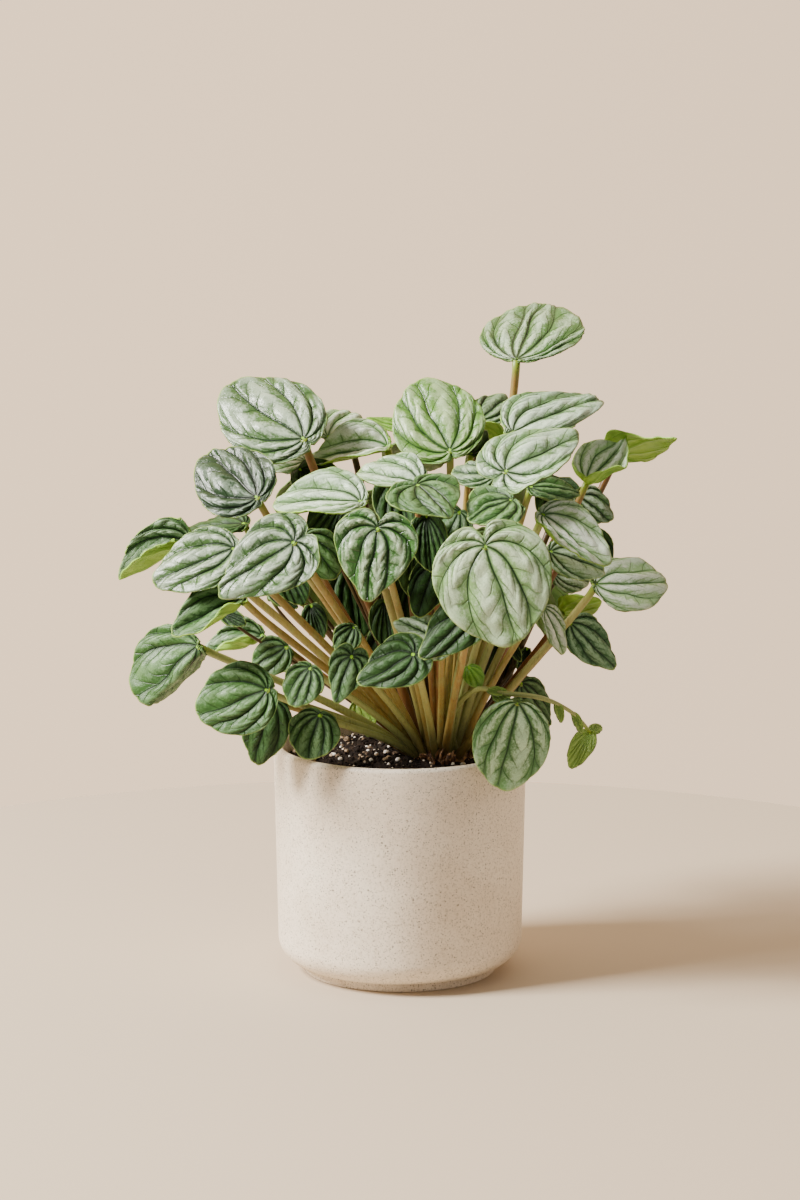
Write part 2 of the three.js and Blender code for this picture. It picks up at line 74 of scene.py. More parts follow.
def put(kind, options=None, inputs=None):
    made = trees[-1].nodes.new("ShaderNode" + kind)
    for name, value in (options or {}).items():
        setattr(made, name, value)
    for key, value in (inputs or {}).items():
        if isinstance(value, bpy.types.NodeSocket):
            link(value, made.inputs[key])
        else:
            made.inputs[key].default_value = value
    return made


def maths(operation, first, second):
    return put("Math", {"operation": operation}, {0: first, 1: second}).outputs[0]


def plus(first, second):
    return maths("ADD", first, second)


def minus(first, second):
    return maths("SUBTRACT", first, second)


def times(first, second):
    return maths("MULTIPLY", first, second)


def ramp(value, low, high, atLow=0.0, atHigh=1.0):
    # a smooth step from one value to another
    made = put("MapRange", {"interpolation_type": "SMOOTHSTEP"},
               {"Value": value, "From Min": low, "From Max": high, "To Min": atLow, "To Max": atHigh})
    return made.outputs["Result"]


def blend(share, first, second):
    made = put("Mix", {"data_type": "RGBA"}, {0: share, 6: first, 7: second})
    return made.outputs[2]


def cloud(place, scale, detail, rough=0.5):
    made = put("TexNoise", {},
               {"Vector": place, "Scale": scale, "Detail": detail, "Roughness": rough})
    return made.outputs["Fac"]


def objectPlace(stretch=(1, 1, 1)):
    place = put("TexCoord").outputs["Object"]
    return put("Mapping", {}, {"Vector": place, "Scale": stretch}).outputs["Vector"]


def attribute(name):
    return put("Attribute", {"attribute_name": name}).outputs["Fac"]


def bump(shader, height, distance, strength):
    made = put("Bump", {}, {"Height": height, "Distance": distance, "Strength": strength})
    link(made.outputs["Normal"], shader.inputs["Normal"])


def paint(shader, face, rough):
    link(face, shader.inputs["Base Color"])
    shader.inputs["Roughness"].default_value = rough


def clamp(value):
    return min(1, max(0, value))


def addObject(name, data):
    made = bpy.data.objects.new(name, data)
    bpy.context.scene.collection.objects.link(made)
    return made


def newMesh(layers):
    bm = bmesh.new()
    for layer in layers:
        bm.verts.layers.float.new(layer)
    return bm


def addPiece(name, bm, materials, nodes=()):
    mesh = bpy.data.meshes.new(name)
    for face in bm.faces:
        face.smooth = True
    bm.to_mesh(mesh)
    bm.free()
    piece = addObject(name, mesh)
    for material in materials:
        mesh.materials.append(material)
    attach(piece, "root")
    if nodes:
        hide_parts(*nodes)
    return piece


# The pot: stoneware, turned on a wheel

pot = {
    "height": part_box("pot")[1].z, "rim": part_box("pot")[1].x, "lowerRadius": 0.0582,
    "corner": 0.012, "cornerStart": -84, "foot": 0.046, "footHeight": 0.0045,
    "footBevel": 0.0008, "bevelStart": -80, "wall": 0.0042, "floor": 0.009, "innerCorner": 0.009,
    "steps": 160, "bevelSteps": 4, "cornerSteps": 16, "lipSteps": 14, "innerSteps": 8,
    "clay": colour("f5e8d4"), "shadeClay": colour("e6d6c0"),
    "speck": colour("42331f"), "sand": colour("a8957a"),
    # cells a metre, the share of them that holds a speck, and the largest speck
    "specks": [(480, 0.15, 0.24), (900, 0.5, 0.34), (1600, 0.6, 0.42)],
    "patchShares": (0.35, 0.7), "turningMarks": 0.16, "sandShare": 0.6, "speckEdge": (-0.03, 0.06),
    "speckStrength": (0.25, 0.85), "rough": (0.42, 0.56), "gloss": 0.45, "relief": 0.00015,
}


def arc(centreX, centreZ, radius, start, end, steps):
    angles = [radians(start + (end - start) * i / steps) for i in range(steps + 1)]
    return [(centreX + radius * cos(a), centreZ + radius * sin(a)) for a in angles]


def spunShape(profile, steps):
    # spins a profile of (radius, height) points about the upright axis
    bm = bmesh.new()
    corners = [bm.verts.new((radius, 0, height)) for radius, height in profile]
    edges = [bm.edges.new(pair) for pair in zip(corners, corners[1:])]
    bmesh.ops.spin(bm, geom=corners + edges, axis=up, cent=(0, 0, 0), angle=2 * pi,
                   steps=steps, use_merge=True, use_duplicate=False)
    bmesh.ops.remove_doubles(bm, verts=bm.verts[:], dist=1e-6)
    bmesh.ops.recalc_face_normals(bm, faces=bm.faces[:])
    return bm


def stonewareMaterial():
    material, shader = newMaterial("stoneware")
    place = objectPlace()
    patches = ramp(cloud(place, 22, 4, 0.6), *pot["patchShares"])
    clay = blend(patches, pot["clay"], pot["shadeClay"])
    rings = cloud(objectPlace((6, 6, 260)), 1, 3, 0.6)  # faint traces of turning
    clay = blend(ramp(rings, 0.45, 0.75, 0, pot["turningMarks"]), clay, pot["shadeClay"])
    sand = ramp(cloud(place, 850, 4, 0.75), 0.48, 0.7, 0.0, pot["sandShare"])
    clay = blend(sand, clay, pot["sand"])
    faint = 0.0
    for scale, share, size in pot["specks"]:
        cells = put("TexVoronoi", {}, {"Vector": place, "Scale": scale, "Randomness": 1.0})
        chosen = put("SeparateColor", {}, {"Color": cells.outputs["Color"]})
        reach = ramp(chosen.outputs["Red"], 1 - share, 1.0, 0.0, size)
        speck = ramp(minus(reach, cells.outputs["Distance"]), *pot["speckEdge"])
        strength = ramp(chosen.outputs["Green"], 0.0, 1.0, *pot["speckStrength"])
        speck = times(speck, strength)
        faint = maths("MAXIMUM", speck, faint)
    clay = blend(faint, clay, pot["speck"])
    link(clay, shader.inputs["Base Color"])
    grain = cloud(place, 900, 3, 0.6)
    link(ramp(grain, 0.3, 0.7, *pot["rough"]), shader.inputs["Roughness"])
    shader.inputs["Specular IOR Level"].default_value = pot["gloss"]
    height = minus(plus(grain, rings), times(faint, 0.5))
    bump(shader, height, pot["relief"], 0.7)
    return material


def makePot():
    # half the section, from the middle of the underside round the lip to the middle of the floor
    lip, bevel, corner, inner = pot["wall"] / 2, pot["footBevel"], pot["corner"], pot["innerCorner"]
    low, high = pot["footHeight"] + corner, pot["height"] - lip
    flare = pot["rim"] - pot["lowerRadius"]
    profile = [(0, 0), (pot["foot"] - bevel, 0)]
    profile += arc(pot["foot"] - bevel, bevel, bevel, pot["bevelStart"], 0, pot["bevelSteps"])
    profile += [(pot["foot"], pot["footHeight"])]
    profile += arc(pot["lowerRadius"] - corner, low, corner, pot["cornerStart"], 0, pot["cornerSteps"])
    for share in (0.25, 0.5, 0.75):
        profile += [(pot["lowerRadius"] + flare * share, low + (high - low) * share)]
    profile += arc(pot["rim"] - lip, high, lip, 0, 180, pot["lipSteps"])
    profile += arc(pot["lowerRadius"] - pot["wall"] - inner, pot["floor"] + inner, inner, 0, -90,
                   pot["innerSteps"])
    profile += [(0, pot["floor"])]
    addPiece("stonewarePot", spunShape(profile, pot["steps"]), [stonewareMaterial()], ["pot"])


makePot()
print("pot made")


# The soil: dark potting mix with white and tan grains

soil = {
    "edge": 0.1015, "middle": 0.1065, "lump": 0.0009, "lumpWaves": ((310, 120), (100, -270), -1),
    "gap": 0.0003, "floor": 0.0093, "flatTop": 0.1, "sideTop": 0.09,
    "rings": 64, "steps": 300, "cornerSteps": 5, "seed": 7,
    # waves a metre, layer of the noise, height
    "rough": [(260, 3, 0.0011), (900, 9, 0.0006)],
    # crumbs, tan chips and white grains: how many, their sizes, material and fineness
    "lumps": [(1500, (0.0004, 0.0013), 0, 1), (90, (0.0008, 0.0021), 2, 2), (210, (0.0004, 0.0014), 1, 2)],
    "clearOfPot": 0.003, "clearOfCrown": 0.8, "smallest": 0.6, "lumpiness": 0.35, "standOut": 0.25,
    "squash": [(0.7, 1.2), (0.7, 1.2), (0.6, 1)],
    "dark": colour("1c130e"), "brown": colour("4f3a2b"), "white": colour("fbf5ea"), "tan": colour("c2a686"),
}
innerRim = pot["rim"] - pot["wall"]
crown = {"place": Vector((0.019, -0.005, 0.1095)), "radius": 0.019, "fineness": 5}


def soilHeight(x, y):
    # the same mound as the solid's, in metres
    share = min(1, hypot(x, y) / innerRim)
    mound = soil["edge"] + (soil["middle"] - soil["edge"]) * (1 - share * share)
    (a, b), (c, d), shift = soil["lumpWaves"]
    return mound + soil["lump"] * sin(a * x + b * y) * cos(c * x + d * y + shift)


def crumbly(x, y):
    # the surface with its crumbs
    height = soilHeight(x, y)
    for scale, layer, rise in soil["rough"]:
        height += rise * noise(Vector((x * scale, y * scale, layer)))
    return height


def soilMaterial():
    material, shader = newMaterial("pottingMix")
    place = objectPlace()
    mixed = ramp(cloud(place, 700, 4, 0.7), 0.52, 0.74)
    paint(shader, blend(mixed, soil["dark"], soil["brown"]), 0.85)
    shader.inputs["Specular IOR Level"].default_value = 0.25
    bump(shader, cloud(place, 1500, 3, 0.7), 0.0004, 0.8)
    return material


def grainMaterial(name, pale, dark):
    material, shader = newMaterial(name)
    place = objectPlace()
    paint(shader, blend(ramp(cloud(place, 500, 3), 0.4, 0.65), pale, dark), 0.8)
    bump(shader, cloud(place, 2500, 2), 0.0002, 0.6)
    return material


def scatter(bm, draw, count, sizes, material, fineness):
    # small lumps lying in the surface, clear of the crown
    for _ in range(count):
        angle = draw.uniform(0, 2 * pi)
        away = (innerRim - soil["clearOfPot"]) * sqrt(draw.uniform(0, 1))
        x, y = away * cos(angle), away * sin(angle)
        fromCrown = hypot(x - crown["place"].x, y - crown["place"].y)
        if fromCrown < crown["radius"] * soil["clearOfCrown"]:
            continue
        size = draw.uniform(*sizes) * draw.uniform(soil["smallest"], 1)
        made = bmesh.ops.create_icosphere(bm, subdivisions=fineness, radius=size)
        squash = Vector([draw.uniform(*limits) for limits in soil["squash"]])
        shift = Vector([draw.uniform(0, 9) for _ in range(3)])
        middle = Vector((x, y, crumbly(x, y) + size * soil["standOut"]))
        for vert in made["verts"]:
            rough = 1 + soil["lumpiness"] * noise(vert.co / size * 1.3 + shift)
            vert.co = middle + vert.co * squash * rough
        for face in {face for vert in made["verts"] for face in vert.link_faces}:
            face.material_index = material


def makeSoil():
    radius = innerRim - soil["gap"]
    top = [(radius * (k / soil["rings"]), soil["flatTop"]) for k in range(soil["rings"] + 1)]
    lower = pot["lowerRadius"] - pot["wall"] - soil["gap"]
    bend = pot["innerCorner"]
    corner = arc(lower - bend, pot["floor"] + bend, bend - soil["gap"], 0, -90, soil["cornerSteps"])
    bm = spunShape(top + [(radius, soil["sideTop"])] + corner + [(0, soil["floor"])], soil["steps"])
    for vert in bm.verts:
        if vert.co.z > (soil["flatTop"] + soil["sideTop"]) / 2:
            vert.co.z = crumbly(vert.co.x, vert.co.y)
    draw = random.Random(soil["seed"])
    for row in soil["lumps"]:
        scatter(bm, draw, *row)
    materials = [soilMaterial(), grainMaterial("whiteGrain", soil["white"], soil["tan"]),
                 grainMaterial("tanGrain", soil["tan"], soil["brown"])]
    addPiece("pottingSoil", bm, materials, ["soil"])


makeSoil()
print("soil made")


# The blades: ribbed, heart-shaped, silver between dark veins.
# The solid of each blade gives its form, ring by ring, and the fine blade follows it.

blade = {
    "thickness": 0.0007, "columnsPerGap": {3: 11, 2: 7}, "ringCounts": {3: 30, 2: 18},
    "ribRise": 0.26, "tallestRib": 0.0018, "grooveSharpness": 0.7, "cleftNarrowing": 0.5,
    "pucker": 0.026, "puckersPerReach": 3.8, "quilting": 0.008, "ribsSetIn": 2.2, "puckersSetIn": 3,
    "marginFlattening": 0.55, "finePucker": 0.6, "finePuckerScale": 2.2, "puckerInGroove": 0.3,
    "scallop": 0.016, "crestScallop": 0.014, "marginWave": 0.012, "marginWaveScale": 1.7,
    "sway": 6, "swayWaves": (2.5, 7.7), "swayShare": 0.8, "swayStep": 2.1, "wanderScale": 160,
    "tip": {"crest": (180, 0.02, 13), "fan": (180, 0.025, 13), "shield": (180, 0.07, 13)}, "tipFlare": 6,
    "sideVeins": 5, "sideSlant": -1.3, "sideShift": 0.35, "sideWander": 0.3,
    # where the solid's rings lie from navel to margin, and how many go round the first, by its spokes
    "stations": {3: (0, 0.36, 0.7, 1), 2: (0, 0.5, 1)}, "outerRings": {16: 2, 12: 1},
}

# How a blade is painted: widths in metres, bands in half widths of a vein, the rest as shares
paintwork = {
    "veinHalfWidth": (0.00036, 0.00018), "veinBand": (0.3, 2.1), "shadowBand": (0.5, 5.0),
    "sideVeinBand": 0.09, "sideShadowBand": 0.32, "sideShadow": 0.28, "sideVeinShare": 0.42,
    "brushing": (5.0, 12.0, 90.0), "brushSpread": 0.24, "patchSpread": 0.12, "speckleSpread": 0.2,
    "silverEdge": (0.42, 0.52), "silverUnderVein": 0.5, "veinShare": 0.95,
    # start, end, and the shares at them: outwards, from a vein to a rib, in metres from the navel
    "veinFade": (0.7, 1.0, 1.0, 0.25), "sideVeinFade": (0.2, 0.5), "ribFade": (0.45, 1.0, 1.0, 0.3),
    "silverFade": (0.55, 1.0, 1.0, 0.65), "silverAtNavel": (0.001, 0.006, 0.2, 1.0),
    "limeRim": (0.0001, 0.0007), "limeNavel": (0.0004, 0.0012), "relief": 0.0005,
}

# Where the main veins run, in degrees from the tip, at the navel and at the margin:
# on a fan the navel lies near the margin, and on a shield well inside the blade
veinAngles = {
    "crest": {"navel": [0, 26, 52, 80, 112, 180], "margin": [0, 14, 29, 47, 74, 180]},
    "fan": {"navel": [0, 36, 76, 122, 180], "margin": [0, 19, 43, 80, 180]},
    "shield": {"navel": [0, 44, 92, 138, 180], "margin": [0, 20, 52, 104, 180]},
    "shieldBack": 0.1, "bend": 0.7,
}

# The finishes: vein, the green beside it, the silver, how far the silver spreads, how dark it is
# beside a vein, roughness, gloss, and how strongly the ribs rise
toneParts = ("vein", "web", "silver", "cover", "shadow", "rough", "gloss", "relief")
bladeTones = {
    # painted light: lighter colours for blades that fall in the shade of others
    "lit": ("3c6430", "a2c486", "f0f6e6", 0.6, 0.4, 0.36, 0.5, 0.9),
    # the whiter silver of some blades, and painted light on others that fall in shade
    "bright": ("16300f", "7ca068", "d6ead0", 0.58, 0.4, 0.3, 0.5, 0.9),
    "silver": ("122a10", "4a6a36", "b2c2aa", 0.5, 0.6, 0.28, 0.48, 1),
    "fresh": ("1c3c10", "5c8834", "b4ca96", 0.48, 0.5, 0.32, 0.45, 0.95),
    "pale": ("1e3c16", "84a866", "d6e8c2", 0.6, 0.5, 0.34, 0.5, 0.8),
    "pewter": ("0a1a0a", "263e20", "849682", 0.3, 0.7, 0.28, 0.45, 1.05),
    "vivid": ("0f280b", "3e6a2a", "b8cca6", 0.46, 0.6, 0.28, 0.5, 1),
    "crest": ("16300f", "4a7036", "b6caa8", 0.46, 0.6, 0.3, 0.45, 0.75),
    "mist": ("1e4018", "629254", "ccecc2", 0.5, 0.45, 0.36, 0.45, 0.7),
    "cool": ("16361a", "457240", "9cc096", 0.5, 0.5, 0.36, 0.45, 1),
    "sage": ("163010", "486c38", "9cb48e", 0.5, 0.5, 0.36, 0.45, 1),
    "green": ("0f280b", "3a5f28", "729462", 0.42, 0.55, 0.42, 0.35, 1),
    # painted shade: darker colours for blades deep in the shade of the others
    "shade": ("0c1f07", "284618", "46683a", 0.3, 0.6, 0.46, 0.28, 1),
    # painted shade, darker still, for a blade deep inside the plant
    "deep": ("081405", "17300d", "26461a", 0.25, 0.6, 0.55, 0.15, 1),
    "lime": ("5a8c26", "7cb03a", "96c258", 0.35, 0.4, 0.36, 0.5, 0.3),
    "young": ("7da040", "9cc052", "b4d070", 0.4, 0.4, 0.36, 0.5, 0.25),
}
limeEdge = colour("9dbb62")
limeNavel = colour("8fc922")
# the lime underside: the young leaves' own pale colour, and on the blades listed below also painted light
# shining through the leaf
undersides = {"limeUnderPaintedLight": ("9cc64a", "72a834"), "dullUnder": ("64823f", "4a672b")}

# Which finish each blade has, and which of them show a lime underside, lit through as painted light
tonesInOrder = {
    "leaf_upper": "silver pewter fresh bright bright green bright bright green lit lime lit lit sage shade",
    "leaf_middle": "vivid silver sage silver green pale lit bright lit deep shade bright green cool lit "
                   "green silver mist",
    "leaf_lower": "green green shade green green green shade mist sage green green young lime",
    "leaf_back": "lime sage lime lit shade lime bright green",
    "back_shoot": "sage sage",
}
toneOf = {"leaf_crest": "crest", "stalks": "young", "inner": "shade"}  # stalks: the runner's young leaves
for row, tones in tonesInOrder.items():
    for number, tone in enumerate(tones.split(), 1):
        toneOf[f"{row}_{number}"] = tone
paintedLightBelow = ("leaf_upper_4", "leaf_upper_8", "leaf_upper_10", "leaf_upper_13",
             "leaf_middle_3", "leaf_middle_5", "leaf_middle_7", "leaf_lower_9")

# Where a margin departs from the solid's, such as a longer tip, a notch or a deeper cleft:
# degrees round from the cleft, share of the reach, degrees wide
margins = {
    "leaf_crest": [(222, 0.12, 24), (262, -0.08, 16), (130, 0.05, 28), (70, -0.06, 20)],
    "leaf_upper_8": [(60, -0.35, 32), (160, 0.12, 7), (146, 0.05, 14), (218, -0.2, 26)],
    "leaf_upper_11": [(180, 0.08, 7), (152, 0.05, 12), (205, -0.16, 16)],
    "leaf_middle_1": [(0, -0.4, 14)],
    "leaf_middle_3": [(284, 0.6, 11), (235, -0.2, 22), (90, -0.78, 60)],
    "leaf_middle_6": [(0, -0.4, 12), (180, -0.04, 13)],
    "leaf_middle_14": [(180, 0.08, 12)],
    "leaf_upper_6": [(0, -0.3, 14)],
}

# Folded blades: the way towards each fold as seen from the front, right and up, where it starts and
# how round it is, as shares of the blade's reach, and how many degrees it turns, below 0 downwards
folds = {
    "leaf_middle_2": [(1, 0.1, 0.14, 0.16, 95)], "leaf_middle_3": [(0.45, -0.9, 0.04, 0.03, 88)],
    "leaf_middle_5": [(0.5, -0.85, 0.2, 0.03, 160)], "leaf_middle_7": [(-0.75, -0.65, 0.16, 0.04, 150)],
    "leaf_upper_7": [(0.45, -0.9, 0.1, 0.3, 50)], "leaf_lower_1": [(0.7, -0.7, 0.04, 0.05, -100)],
    "leaf_upper_10": [(0, -1, 0.12, 0.1, 95), (1, 0.2, 0.5, 0.12, 60)],
    "leaf_lower_9": [(0.2, -1, 0.2, 0.04, 140)],
}


def bladeFlow():
    # where a point lies on its blade: round it, outwards, and in metres from the nearest main vein
    flow = put("UVMap", {"uv_map": "bladeMap"}).outputs["UV"]
    split = put("SeparateXYZ", {}, {"Vector": flow})
    phase, outward = split.outputs["X"], split.outputs["Y"]
    return phase, outward, times(maths("PINGPONG", phase, 0.5), attribute("veinGap"))


def bladeMaterial(name):
    tone = dict(zip(toneParts, bladeTones[name]))
    material, shader = newMaterial(name + "Blade")
    place = objectPlace()
    phase, outward, fromVein = bladeFlow()
    beside = times(maths("PINGPONG", phase, 0.5), 2.0)  # 0 on a vein, 1 on the rib between two
    reach = attribute("reach")
    fromMargin, fromNavel = times(minus(1.0, outward), reach), times(outward, reach)
    broad = cloud(place, 75, 2, 0.5)
    speckle = cloud(place, 900, 3, 0.65)

    halfWidth = ramp(outward, 0.0, 1.0, *paintwork["veinHalfWidth"])
    ratio = maths("DIVIDE", fromVein, halfWidth)
    vein = ramp(ratio, *paintwork["veinBand"], 1.0, 0.0)
    vein = times(vein, ramp(outward, *paintwork["veinFade"]))

    # side veins leave each main vein at a slant and meet on the rib
    slant = times(outward, blade["sideVeins"])
    slant = plus(slant, times(beside, blade["sideSlant"]))
    slant = plus(slant, times(phase, blade["sideShift"]))
    slant = plus(slant, attribute("wander"))
    toSideVein = maths("PINGPONG", slant, 0.5)
    sideReach = times(ramp(outward, *paintwork["sideVeinFade"]), ramp(beside, *paintwork["ribFade"]))
    sideVein = times(ramp(toSideVein, 0.0, paintwork["sideVeinBand"], 1.0, 0.0), sideReach)
    sideBand = times(ramp(toSideVein, 0.0, paintwork["sideShadowBand"], 1.0, 0.0), sideReach)

    # the silver is brushed on along the ribs, and thins out towards veins and margin
    combed = [times(way, scale) for way, scale in zip((phase, outward, reach), paintwork["brushing"])]
    comb = put("CombineXYZ", {}, dict(zip("XYZ", combed)))
    brushed = cloud(comb.outputs["Vector"], 1, 4, 0.65)
    spread = beside
    for pattern, low, high, key in ((brushed, 0.3, 0.7, "brushSpread"), (broad, 0.32, 0.68, "patchSpread"),
                                    (speckle, 0.3, 0.7, "speckleSpread")):
        spread = plus(spread, ramp(pattern, low, high, -paintwork[key], paintwork[key]))
    spread = minus(spread, times(sideBand, paintwork["sideShadow"]))
    edge = 1.0 - tone["cover"]
    before, after = paintwork["silverEdge"]
    silver = ramp(spread, edge - before, edge + after)
    silver = times(silver, ramp(outward, *paintwork["silverFade"]))
    silver = times(silver, ramp(fromNavel, *paintwork["silverAtNavel"]))
    silver = times(silver, minus(1.0, times(sideVein, paintwork["silverUnderVein"])))

    web, shine, line = colour(tone["web"]), colour(tone["silver"]), colour(tone["vein"])
    grain = ramp(cloud(place, 2100, 2, 0.6), 0.38, 0.66, 0.75, 1.0)
    web = blend(ramp(broad, 0.35, 0.65, 0.0, 0.35), web, line)
    face = blend(times(silver, grain), web, shine)
    face = blend(times(sideVein, paintwork["sideVeinShare"]), face, line)
    face = blend(ramp(ratio, *paintwork["shadowBand"], tone["shadow"], 0.0), face, line)
    face = blend(times(vein, paintwork["veinShare"]), face, line)
    face = blend(ramp(fromMargin, *paintwork["limeRim"], 0.75, 0.0), face, limeEdge)
    face = blend(ramp(fromNavel, *paintwork["limeNavel"], 1.0, 0.0), face, limeNavel)
    paint(shader, face, tone["rough"])
    shader.inputs["Specular IOR Level"].default_value = tone["gloss"]
    height = times(vein, -0.6)
    for pattern, share in ((sideVein, -0.6), (brushed, 0.7), (speckle, 0.35)):
        height = plus(height, times(pattern, share))
    bump(shader, height, paintwork["relief"], 0.8)
    return material


def underMaterial(name, pale, dark):
    material, shader = newMaterial(name)
    place = objectPlace()
    fromVein = bladeFlow()[2]
    vein = ramp(fromVein, 0.0003, 0.0012, 1.0, 0.0)
    patches = ramp(cloud(place, 180, 3), 0.35, 0.65, 0.0, 0.5)
    face = blend(patches, colour(pale), colour(dark))
    face = blend(times(vein, 0.5), face, colour(dark))
    paint(shader, face, 0.5)
    bump(shader, vein, paintwork["relief"], 0.6)
    return material


def neighbours(vert):
    return [edge.other_vert(vert) for edge in vert.link_edges]


def walkRings(pole):
    # rings of the upper face, outwards from the navel, or None where the mesh isn't such a face
    count = len(pole.link_edges)
    if count not in blade["outerRings"] or len(pole.link_faces) != count:
        return None
    face, ring = pole.link_faces[0], []
    for _ in range(count):
        corner = next(loop for loop in face.loops if loop.vert is pole)
        ring.append(corner.link_loop_prev.vert)
        face = next(f for f in corner.edge.link_faces if f is not face)
    rings, inner = [ring], {pole}
    for _ in range(blade["outerRings"][count]):
        following = [None] * count
        for k in range(count):
            a, b = ring[k], ring[(k + 1) % count]
            shared = next((e for e in a.link_edges if e.other_vert(a) is b), None)
            if shared is None:
                return None
            tips = [v for f in shared.link_faces for v in f.verts if v not in (a, b) and v not in inner]
            if len(tips) != 1:
                return None
            following[(k + 1) % count] = tips[0]
        if len(set(following)) != count:
            return None
        inner, ring = set(ring), following
        rings.append(ring)
    # on the underside the walk meets each spoke one step late
    late = 0
    for k in range(count):
        out = (rings[1][k].co - pole.co).normalized()
        late += out.dot((rings[0][k].co - pole.co).normalized())
        late -= out.dot((rings[0][k - 1].co - pole.co).normalized())
    if late < 0:
        return None
    margin = rings[-1]
    if any(margin[k] not in neighbours(margin[k - 1]) for k in range(count)):
        return None
    return [[vert.co.copy() for vert in ring] for ring in rings]


def smoothNet(net):
    # takes out the solid's coarse ribs, which rise and fall from spoke to spoke; finer ones come later
    navel, normal = net["navel"], net["normal"]
    reaches = [(point - navel).length for point in net["rings"][-1]]
    for ring in net["rings"]:
        heights = [(point - navel).dot(normal) for point in ring]
        swing = sum((-1) ** k * h * r for k, (h, r) in enumerate(zip(heights, reaches)))
        swing /= sum(r * r for r in reaches)
        for k, reach in enumerate(reaches):
            ring[k] = ring[k] - normal * ((-1) ** k * swing * reach)
    return net


def veinTurns(outward, kind, jitter):
    # how far round the blade the main veins lie, in degrees, from the cleft to the cleft again
    marks = veinAngles[kind]
    bend = outward ** veinAngles["bend"]
    side = [a + (b - a) * bend for a, b in zip(marks["navel"], marks["margin"])]
    turns = [180 - mark for mark in reversed(side)] + [180 + mark for mark in side[1:]]
    along, around = blade["swayWaves"]
    for k in range(1, len(turns) - 1):
        swing = noise(Vector((outward * along, k * around, jitter)))
        swing += blade["swayShare"] * sin(k * blade["swayStep"] + jitter)
        turns[k] += blade["sway"] * swing * min(1, outward * 2)
    return turns


def readNets(nodeName):
    # the navel and the rings of every blade in a node, each ring starting at the cleft
    bm = bmesh.new()
    bm.from_mesh(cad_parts[nodeName].data)
    bmesh.ops.remove_doubles(bm, verts=bm.verts[:], dist=1e-6)
    nets = []
    for vert in bm.verts:
        rings = walkRings(vert)
        if rings is None:
            continue
        reaches = [(point - vert.co).length for point in rings[-1]]
        cleft = reaches.index(min(reaches))
        rings = [ring[cleft:] + ring[:cleft] for ring in rings]
        nets.append(smoothNet({"navel": vert.co.copy(), "rings": rings, "normal": vert.normal.copy()}))
    bm.free()
    return nets


def acrossRings(navel, rings, spoke, share):
    # a point on a spoke, on the curve through the navel and the rings
    stations = blade["stations"][len(rings)]
    points = [navel] + [ring[spoke] for ring in rings]
    found = Vector((0, 0, 0))
    for i, point in enumerate(points):
        weight = 1.0
        for j, station in enumerate(stations):
            if j != i:
                weight *= (share - station) / (stations[i] - station)
        found += point * weight
    return found


def between(before, start, end, after, share):
    # the smooth curve through four points, between the middle two
    squared, cubed = share ** 2, share ** 3
    return (start * 2 + (end - before) * share + (before * 2 - start * 5 + end * 4 - after) * squared
            + (start * 3 - before - end * 3 + after) * cubed) / 2


def foldPoint(point, net, largest, fold):
    # rolls what lies beyond the hinge over the face, or under it, as paper bends
    right, high, hinge, roundness, degrees = fold
    normal = net["normal"]
    towards = Vector((right, 0, high))
    towards = (towards - normal * towards.dot(normal)).normalized()
    offset = point - net["navel"]
    beyond = offset.dot(towards) - hinge * largest
    if beyond <= 0:
        return point
    radius = roundness * largest
    turned = min(radians(abs(degrees)), beyond / radius)
    left = beyond - radius * turned
    along = hinge * largest + radius * sin(turned) + left * cos(turned)
    rise = radius * (1 - cos(turned)) + left * sin(turned)
    return point + towards * (along - offset.dot(towards)) + normal * copysign(rise, degrees)


def marginFlare(name, kind, turn, outward):
    # how much further out than on the solid a point lies: a tip is drawn out, and a cleft cut in
    found = 0
    for place, share, width in [blade["tip"][kind]] + margins.get(name, []):
        away = min(abs(turn - place), 360 - abs(turn - place))
        found += share * exp(-(away / width) ** 2) * (outward ** blade["tipFlare"] if share > 0 else 1)
    return found


def largestReach(net):
    return max((point - net["navel"]).length for point in net["rings"][-1])


def bladeKind(net, name):
    if name == "leaf_crest":
        return "crest"
    outer, navel = net["rings"][-1], net["navel"]
    back = (outer[0] - navel).length / (outer[len(outer) // 2] - navel).length
    return "shield" if back > veinAngles["shieldBack"] else "fan"


def sheetPoints(net, name, jitter):
    # the points of a fine upper face, row by row outwards; its columns follow the main veins
    navel, rings, kind = net["navel"], net["rings"], bladeKind(net, name)
    spokes = len(rings[0])
    perGap, steps = blade["columnsPerGap"][len(rings)], blade["ringCounts"][len(rings)]
    scallop = blade["crestScallop" if kind == "crest" else "scallop"]
    gaps = 2 * len(veinAngles[kind]["navel"]) - 2
    surface = [[navel] * (gaps * perGap + 1)]
    for step in range(1, steps + 1):
        outward = step / steps
        marks = [acrossRings(navel, rings, spoke, outward) for spoke in range(spokes)]
        turns = veinTurns(outward, kind, jitter)
        row = []
        for column in range(gaps * perGap + 1):
            gap, part = divmod(column, perGap)
            turn = turns[gap]
            if part:
                turn += (turns[gap + 1] - turns[gap]) * part / perGap
            point = pointAround(navel, marks, turn / 360 * spokes)
            flare = marginFlare(name, kind, turn, outward)
            if 0 < gap < gaps - 1:
                flare += scallop * (sin(pi * part / perGap) - 0.5) * outward ** blade["tipFlare"]
            row.append(point + (point - navel) * flare)
        surface.append(row)
    largest = largestReach(net)
    for fold in folds.get(name, []):
        surface = [[foldPoint(point, net, largest, fold) for point in row] for row in surface]
    return surface


